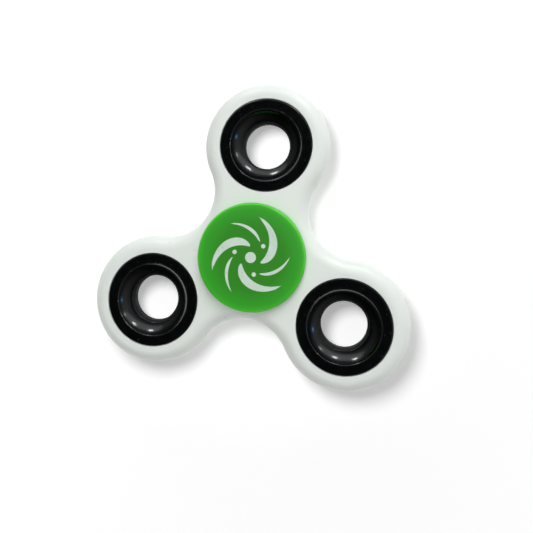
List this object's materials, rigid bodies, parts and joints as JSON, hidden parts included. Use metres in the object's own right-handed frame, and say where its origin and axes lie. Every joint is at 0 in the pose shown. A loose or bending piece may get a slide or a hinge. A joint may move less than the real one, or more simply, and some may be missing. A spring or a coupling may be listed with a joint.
{
  "type": "fidget spinner",
  "caption": "Flat three-lobed hand spinner with rounded rims, a ring weight in each lobe and round finger caps over a central ball bearing.",
  "frame": {"origin": "on the spin axis at the lower cap's outer face, where the spinner lies on a table", "axes": "+Z along the spin axis towards the upper cap; +Y towards the first lobe"},
  "size_m": [0.0754, 0.0695, 0.012],
  "materials": {
    "body_plastic": "glossy moulded white plastic, slightly milky",
    "weight_paint": "glossy black enamel on steel",
    "race_steel": "ground bearing steel",
    "ball_steel": "polished bearing steel",
    "sheet_steel": "pressed steel sheet",
    "cap_plastic": "glossy green moulded plastic",
    "cap_ink": "thin satin pad-printed ink, pale mint"
  },
  "bodies": {
    "hub": {"cap_upper": "cap_plastic", "cap_lower": "cap_plastic", "bearing_inner_race": "race_steel"},
    "rotor": {"spinner_body": "body_plastic", "weight_ring_1": "weight_paint", "weight_ring_2": "weight_paint", "weight_ring_3": "weight_paint", "bearing_outer_race": "race_steel", "shield_upper": "sheet_steel", "shield_lower": "sheet_steel"},
    "cage": {"cage_upper": "sheet_steel", "cage_lower": "sheet_steel", "cage_rivets": "sheet_steel"},
    "ball_body_1": {"ball_1": "ball_steel"},
    "ball_body_2": {"ball_2": "ball_steel"},
    "ball_body_3": {"ball_3": "ball_steel"},
    "ball_body_4": {"ball_4": "ball_steel"},
    "ball_body_5": {"ball_5": "ball_steel"},
    "ball_body_6": {"ball_6": "ball_steel"},
    "ball_body_7": {"ball_7": "ball_steel"}
  },
  "joints": [
    {"name": "spin", "type": "hinge", "parent": "hub", "child": "rotor", "pos_m": [0, 0, 0.006], "axis": [0, 0, 1], "continuous": true},
    {"name": "cage_turn", "type": "hinge", "parent": "hub", "child": "cage", "pos_m": [0, 0, 0.006], "axis": [0, 0, 1], "continuous": true},
    {"name": "ball_roll_1", "type": "hinge", "parent": "cage", "child": "ball_body_1", "pos_m": [0, 0.0075, 0.006], "axis": [0, 0, 1], "continuous": true},
    {"name": "ball_roll_2", "type": "hinge", "parent": "cage", "child": "ball_body_2", "pos_m": [-0.00586, 0.00468, 0.006], "axis": [0, 0, 1], "continuous": true},
    {"name": "ball_roll_3", "type": "hinge", "parent": "cage", "child": "ball_body_3", "pos_m": [-0.00731, -0.00167, 0.006], "axis": [0, 0, 1], "continuous": true},
    {"name": "ball_roll_4", "type": "hinge", "parent": "cage", "child": "ball_body_4", "pos_m": [-0.00325, -0.00676, 0.006], "axis": [0, 0, 1], "continuous": true},
    {"name": "ball_roll_5", "type": "hinge", "parent": "cage", "child": "ball_body_5", "pos_m": [0.00325, -0.00676, 0.006], "axis": [0, 0, 1], "continuous": true},
    {"name": "ball_roll_6", "type": "hinge", "parent": "cage", "child": "ball_body_6", "pos_m": [0.00731, -0.00167, 0.006], "axis": [0, 0, 1], "continuous": true},
    {"name": "ball_roll_7", "type": "hinge", "parent": "cage", "child": "ball_body_7", "pos_m": [0.00586, 0.00468, 0.006], "axis": [0, 0, 1], "continuous": true}
  ],
  "couplings": [
    {"joint": "cage_turn", "follows": "spin", "ratio": 0.6323},
    {"joint": "ball_roll_1", "follows": "spin", "ratio": 1.7574},
    {"joint": "ball_roll_2", "follows": "spin", "ratio": 1.7574},
    {"joint": "ball_roll_3", "follows": "spin", "ratio": 1.7574},
    {"joint": "ball_roll_4", "follows": "spin", "ratio": 1.7574},
    {"joint": "ball_roll_5", "follows": "spin", "ratio": 1.7574},
    {"joint": "ball_roll_6", "follows": "spin", "ratio": 1.7574},
    {"joint": "ball_roll_7", "follows": "spin", "ratio": 1.7574}
  ]
}
